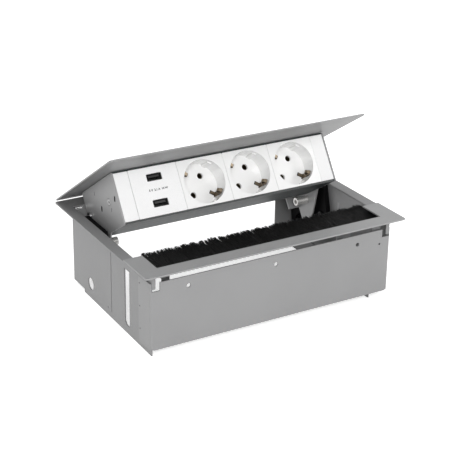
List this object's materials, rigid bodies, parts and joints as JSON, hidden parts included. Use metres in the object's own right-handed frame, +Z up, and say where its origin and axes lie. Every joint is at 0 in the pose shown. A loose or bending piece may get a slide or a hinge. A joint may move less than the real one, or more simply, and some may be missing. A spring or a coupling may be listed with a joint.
{
  "type": "in-desk power module",
  "caption": "Desk-top power module: a flanged steel frame with a rear-hinged lid that carries earthed sockets and USB charging ports, and a brush strip for cables.",
  "frame": {"origin": "middle of the front flange strip's underside, on the desk top", "axes": "+X along the module, +Y from the brush to the hinge, +Z up"},
  "size_m": [0.248, 0.1809, 0.1506],
  "materials": {
    "brush_bracket": "satin grey powder coat",
    "brush_bristles": "black nylon bristles",
    "brush_holder": "black",
    "charger_board": "green",
    "charger_body": "grey",
    "charger_cover": "white",
    "contact_tube": "bright",
    "earth_clip": "bright",
    "end_cap": "white",
    "end_plate": "satin grey",
    "end_screw": "polished",
    "frame_sheet": "satin grey powder coat",
    "friction_bush": "steel",
    "front_panel": "satin grey powder coat",
    "front_trim": "satin grey powder coat",
    "guide_bolt": "polished",
    "guide_plate": "black",
    "guide_screw": "black steel",
    "hinge_pin": "bright steel",
    "housing_profile": "dark grey anodised",
    "inlet_pin": "bright",
    "lid_plate": "satin grey powder coat",
    "port_insulator": "black",
    "port_shell": "nickel plated",
    "rear_screw": "plated",
    "socket_base": "grey",
    "socket_cover": "white",
    "stop_pin": "bright steel",
    "supply_inlet": "black"
  },
  "bodies": {
    "frame": {"brush_bracket_left": "brush_bracket", "brush_bracket_right": "brush_bracket", "brush_bristles": "brush_bristles", "brush_holder": "brush_holder", "frame_sheet": "frame_sheet", "front_panel": "front_panel", "front_trim": "front_trim", "guide_plate_left": "guide_plate", "guide_plate_right": "guide_plate", "guide_screw_left_front": "guide_screw", "guide_screw_left_rear": "guide_screw", "guide_screw_right_front": "guide_screw", "guide_screw_right_rear": "guide_screw", "hinge_pin_left": "hinge_pin", "hinge_pin_right": "hinge_pin", "stop_pin_left": "stop_pin", "stop_pin_right": "stop_pin"},
    "lid": {"charger_board": "charger_board", "charger_body": "charger_body", "charger_cover": "charger_cover", "contact_tube_1_lower": "contact_tube", "contact_tube_1_upper": "contact_tube", "contact_tube_2_lower": "contact_tube", "contact_tube_2_upper": "contact_tube", "contact_tube_3_lower": "contact_tube", "contact_tube_3_upper": "contact_tube", "earth_clip_1": "earth_clip", "earth_clip_2": "earth_clip", "earth_clip_3": "earth_clip", "end_cap_left": "end_cap", "end_cap_right": "end_cap", "end_plate_left": "end_plate", "end_plate_right": "end_plate", "end_screw_left": "end_screw", "end_screw_right": "end_screw", "friction_bush_left": "friction_bush", "friction_bush_right": "friction_bush", "guide_bolt_left": "guide_bolt", "guide_bolt_right": "guide_bolt", "housing_profile": "housing_profile", "inlet_pin_left": "inlet_pin", "inlet_pin_middle": "inlet_pin", "inlet_pin_right": "inlet_pin", "lid_plate": "lid_plate", "port_insulator_lower": "port_insulator", "port_insulator_upper": "port_insulator", "port_shell_lower": "port_shell", "port_shell_upper": "port_shell", "rear_screw_left": "rear_screw", "rear_screw_right": "rear_screw", "socket_base_1": "socket_base", "socket_base_2": "socket_base", "socket_base_3": "socket_base", "socket_cover_1": "socket_cover", "socket_cover_2": "socket_cover", "socket_cover_3": "socket_cover", "supply_inlet": "supply_inlet"}
  },
  "joints": [
    {"name": "lid_hinge", "type": "hinge", "parent": "frame", "child": "lid", "pos_m": [0, 0.1742, 0.0019], "axis": [1, 0, 0], "range_deg": [0, 33.3]}
  ]
}
